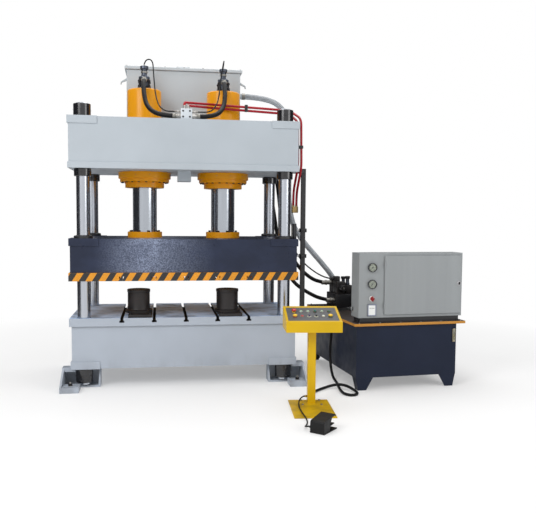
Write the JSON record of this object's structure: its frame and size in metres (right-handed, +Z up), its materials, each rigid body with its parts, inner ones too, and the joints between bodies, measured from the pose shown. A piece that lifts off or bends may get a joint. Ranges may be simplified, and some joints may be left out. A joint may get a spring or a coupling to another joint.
{
  "type": "hydraulic press",
  "caption": "Column-guided hydraulic press with a slotted table, a moving slide, a header tank, a separate power unit, an operator stand and a guarded foot switch.",
  "frame": {"origin": "on the floor, at the middle of the footprint of the rigid pieces", "axes": "+X to the operator's right, towards the power unit; +Y to the back of the press; +Z up"},
  "size_m": [4.0052, 3.1457, 3.343],
  "materials": {
    "pale_grey_paint": "satin",
    "manifold_paint": "satin",
    "bed_grey_paint": "satin",
    "table_steel": "ground and oil stained",
    "slide_slate_paint": "hammered, mottled",
    "slide_orange_paint": "gloss, with black stripes on its front edge",
    "black_paint": "satin",
    "chromed_rod": "polished",
    "cylinder_orange_paint": "gloss",
    "valve_zinc": "zinc plated",
    "red_pipe_paint": "gloss",
    "black_plastic": "matte",
    "die_cast_iron": "as cast, oiled",
    "tank_navy_paint": "satin",
    "cover_orange_paint": "satin",
    "gauge_glass_plastic": "gloss",
    "cabinet_grey_paint": "brushed grey",
    "lock_chrome": "satin",
    "red_plastic": "gloss",
    "motor_slate_paint": "satin",
    "yellow_paint": "gloss",
    "green_plastic": "gloss",
    "ivory_plastic": "gloss",
    "yellow_plastic": "gloss",
    "foot_black_paint": "textured",
    "black_rubber": "smooth",
    "clear_hose_plastic": "translucent, spiral reinforced"
  },
  "bodies": {
    "press_line": {"crown": "pale_grey_paint", "header_tank": "pale_grey_paint", "header_tank_lid": "pale_grey_paint", "crown_manifold": "manifold_paint", "bed": "bed_grey_paint", "bolster_plate": "table_steel", "column_front_left": "chromed_rod", "column_front_right": "chromed_rod", "column_rear_left": "chromed_rod", "column_rear_right": "chromed_rod", "cylinder_left": "cylinder_orange_paint", "cylinder_right": "cylinder_orange_paint", "fill_valve_left": "valve_zinc", "fill_valve_right": "valve_zinc", "pressure_pipes": "red_pipe_paint", "limit_rail": "black_paint", "limit_sensor_upper": "black_plastic", "limit_sensor_lower": "black_plastic", "punch_block_left": "die_cast_iron", "punch_block_right": "die_cast_iron", "oil_tank": "tank_navy_paint", "tank_cover": "cover_orange_paint", "level_gauge": "gauge_glass_plastic", "cabinet": "cabinet_grey_paint", "pump_motor": "motor_slate_paint", "hydraulic_pump": "black_paint", "valve_block": "black_paint", "pedestal": "yellow_paint", "control_box": "yellow_paint", "foot_switch": "foot_black_paint", "fill_hose_left": "black_rubber", "fill_hose_right": "black_rubber", "pilot_hose_left": "black_rubber", "pilot_hose_right": "black_rubber", "suction_hose": "clear_hose_plastic", "pressure_hose_upper": "black_rubber", "pressure_hose_lower": "black_rubber", "signal_cable": "black_rubber", "trunk_conduit": "black_rubber", "foot_switch_cable": "black_rubber"},
    "slide": {"slide_beam": "slide_slate_paint", "slide_plate": "slide_orange_paint", "plunger_left": "chromed_rod", "plunger_right": "chromed_rod", "slide_striker": "black_paint"},
    "cabinet_door": {"cabinet_door": "cabinet_grey_paint"},
    "door_lock": {"door_lock": "lock_chrome"},
    "needle_upper": {"gauge_needle_upper": "black_plastic"},
    "needle_lower": {"gauge_needle_lower": "black_plastic"},
    "main_switch": {"main_switch": "red_plastic"},
    "emergency_stop": {"emergency_stop": "red_plastic"},
    "start_button": {"start_button": "green_plastic"},
    "stop_button": {"stop_button": "red_plastic"},
    "jog_button": {"jog_button": "ivory_plastic"},
    "palm_left": {"palm_button_left": "yellow_plastic"},
    "palm_right": {"palm_button_right": "yellow_plastic"},
    "mode_selector": {"mode_selector": "green_plastic"},
    "stroke_selector": {"stroke_selector": "black_plastic"},
    "hold_selector": {"hold_selector": "black_plastic"},
    "treadle": {"foot_treadle": "foot_black_paint"}
  },
  "joints": [
    {"name": "slide_travel", "type": "slide", "parent": "press_line", "child": "slide", "axis": [0, 0, 1], "range_m": [-0.1, 0.44]},
    {"name": "door_hinge", "type": "hinge", "parent": "press_line", "child": "cabinet_door", "pos_m": [1.13328, -0.1895, 1.0355], "axis": [0, 0, -1], "range_deg": [0, 110]},
    {"name": "lock_turn", "type": "hinge", "parent": "cabinet_door", "child": "door_lock", "pos_m": [1.93452, -0.11137, 1.046], "axis": [-0.0872, 0.9962, 0], "range_deg": [0, 90]},
    {"name": "main_switch_turn", "type": "hinge", "parent": "press_line", "child": "main_switch", "pos_m": [1.00249, -0.18608, 0.906], "axis": [-0.0872, 0.9962, 0], "range_deg": [0, 90]},
    {"name": "needle_upper_turn", "type": "hinge", "parent": "press_line", "child": "needle_upper", "pos_m": [1.00326, -0.19485, 1.212], "axis": [-0.0872, 0.9962, 0], "range_deg": [0, 270], "stiffness_Nm_per_rad": 0.01, "springref_deg": -11.46},
    {"name": "needle_lower_turn", "type": "hinge", "parent": "press_line", "child": "needle_lower", "pos_m": [1.00326, -0.19485, 1.047], "axis": [-0.0872, 0.9962, 0], "range_deg": [0, 270], "stiffness_Nm_per_rad": 0.01, "springref_deg": -11.46},
    {"name": "emergency_stop_press", "type": "slide", "parent": "press_line", "child": "emergency_stop", "axis": [0.0222, 0.2542, -0.9669], "range_m": [0, 0.004]},
    {"name": "start_button_press", "type": "slide", "parent": "press_line", "child": "start_button", "axis": [0.0222, 0.2542, -0.9669], "range_m": [0, 0.004], "stiffness_N_per_m": 1000, "springref_m": -0.002},
    {"name": "stop_button_press", "type": "slide", "parent": "press_line", "child": "stop_button", "axis": [0.0222, 0.2542, -0.9669], "range_m": [0, 0.004], "stiffness_N_per_m": 1000, "springref_m": -0.002},
    {"name": "jog_button_press", "type": "slide", "parent": "press_line", "child": "jog_button", "axis": [0.0222, 0.2542, -0.9669], "range_m": [0, 0.004], "stiffness_N_per_m": 1000, "springref_m": -0.002},
    {"name": "palm_left_press", "type": "slide", "parent": "press_line", "child": "palm_left", "axis": [0.0222, 0.2542, -0.9669], "range_m": [0, 0.004], "stiffness_N_per_m": 1000, "springref_m": -0.002},
    {"name": "palm_right_press", "type": "slide", "parent": "press_line", "child": "palm_right", "axis": [0.0222, 0.2542, -0.9669], "range_m": [0, 0.004], "stiffness_N_per_m": 1000, "springref_m": -0.002},
    {"name": "mode_selector_turn", "type": "hinge", "parent": "press_line", "child": "mode_selector", "pos_m": [0.34395, -0.57077, 0.83653], "axis": [-0.0222, -0.2542, 0.9669], "range_deg": [-45, 45]},
    {"name": "stroke_selector_turn", "type": "hinge", "parent": "press_line", "child": "stroke_selector", "pos_m": [0.27093, -0.67115, 0.80847], "axis": [-0.0222, -0.2542, 0.9669], "range_deg": [-45, 45]},
    {"name": "hold_selector_turn", "type": "hinge", "parent": "press_line", "child": "hold_selector", "pos_m": [0.33468, -0.67672, 0.80847], "axis": [-0.0222, -0.2542, 0.9669], "range_deg": [-45, 45]},
    {"name": "treadle_press", "type": "hinge", "parent": "press_line", "child": "treadle", "pos_m": [0.21872, -1.43731, 0.036], "axis": [-0.7431, 0.6691, 0], "range_deg": [0, 12], "stiffness_Nm_per_rad": 3, "springref_deg": -17.19}
  ]
}
